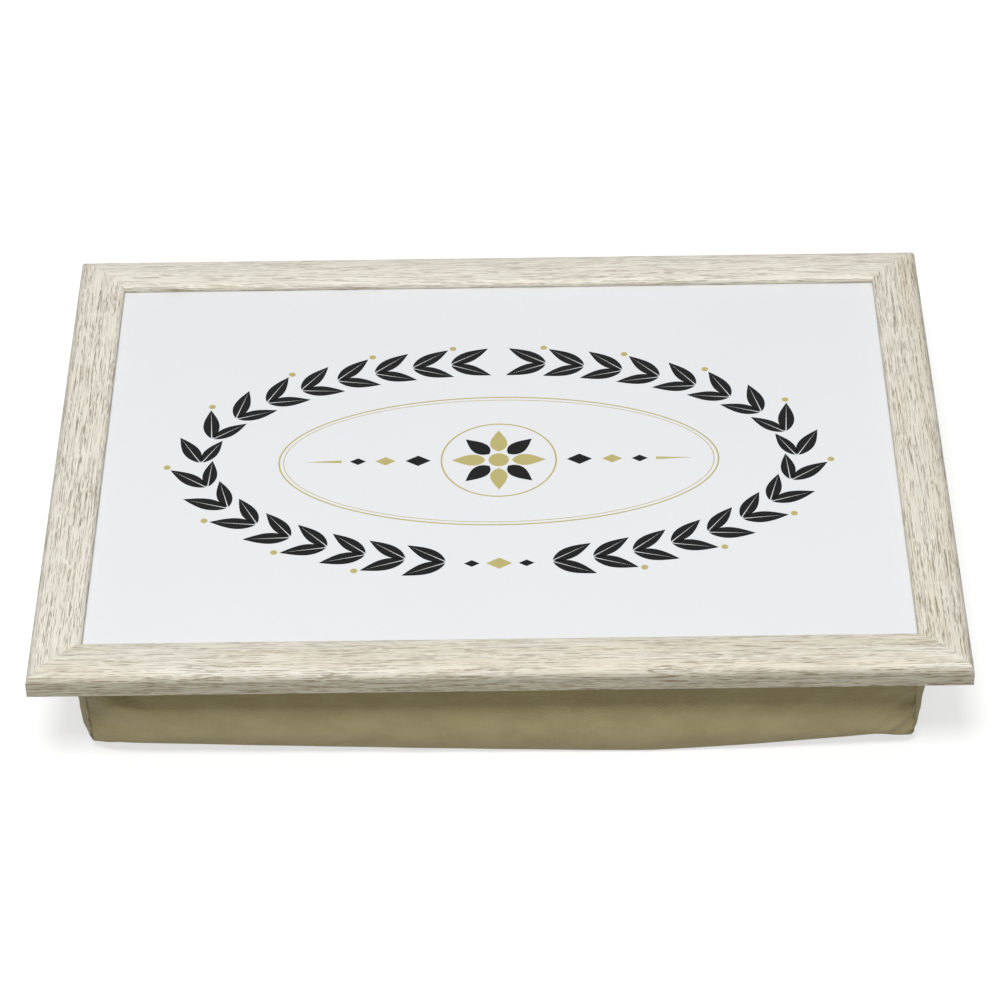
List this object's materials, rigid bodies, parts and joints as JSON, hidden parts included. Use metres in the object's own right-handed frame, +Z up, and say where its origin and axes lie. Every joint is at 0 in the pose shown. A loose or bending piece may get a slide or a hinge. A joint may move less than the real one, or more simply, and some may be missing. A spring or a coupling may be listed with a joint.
{
  "type": "lap tray",
  "caption": "Rectangular lap tray with a mitred whitewashed wood-effect frame, a flat laminated board and a bead-filled cloth cushion underneath to steady it on the lap.",
  "frame": {"origin": "middle of the resting plane under the cushion", "axes": "+X to the right along the long side, +Y to the back away from the user, +Z up"},
  "size_m": [0.435, 0.325, 0.0733],
  "materials": {
    "whitewashed_wood": "whitewashed oak effect, satin",
    "laminate": "satin white laminate with a print",
    "fibreboard": "raw fibreboard",
    "hardboard": "raw hardboard",
    "tape": "white foam tape",
    "steel": "bright steel",
    "khaki_cloth": "plain-weave cotton",
    "beads": "loose polystyrene beads"
  },
  "bodies": {
    "cushion": {"cushion_cover": "khaki_cloth", "bead_filling": "beads"},
    "tray": {"front_rail": "whitewashed_wood", "right_rail": "whitewashed_wood", "back_rail": "whitewashed_wood", "left_rail": "whitewashed_wood", "corner_v_nails": "steel", "frame_points": "steel", "tray_board": "fibreboard", "printed_laminate": "laminate", "bonding_tape": "tape", "backing_panel": "hardboard", "cover_staples": "steel"}
  },
  "joints": [
    {"name": "cushion_press", "type": "slide", "parent": "cushion", "child": "tray", "axis": [0, 0, 1], "range_m": [-0.012, 0], "stiffness_N_per_m": 3000, "springref_m": 0.005, "deforming": ["cushion_cover", "bead_filling"]}
  ]
}
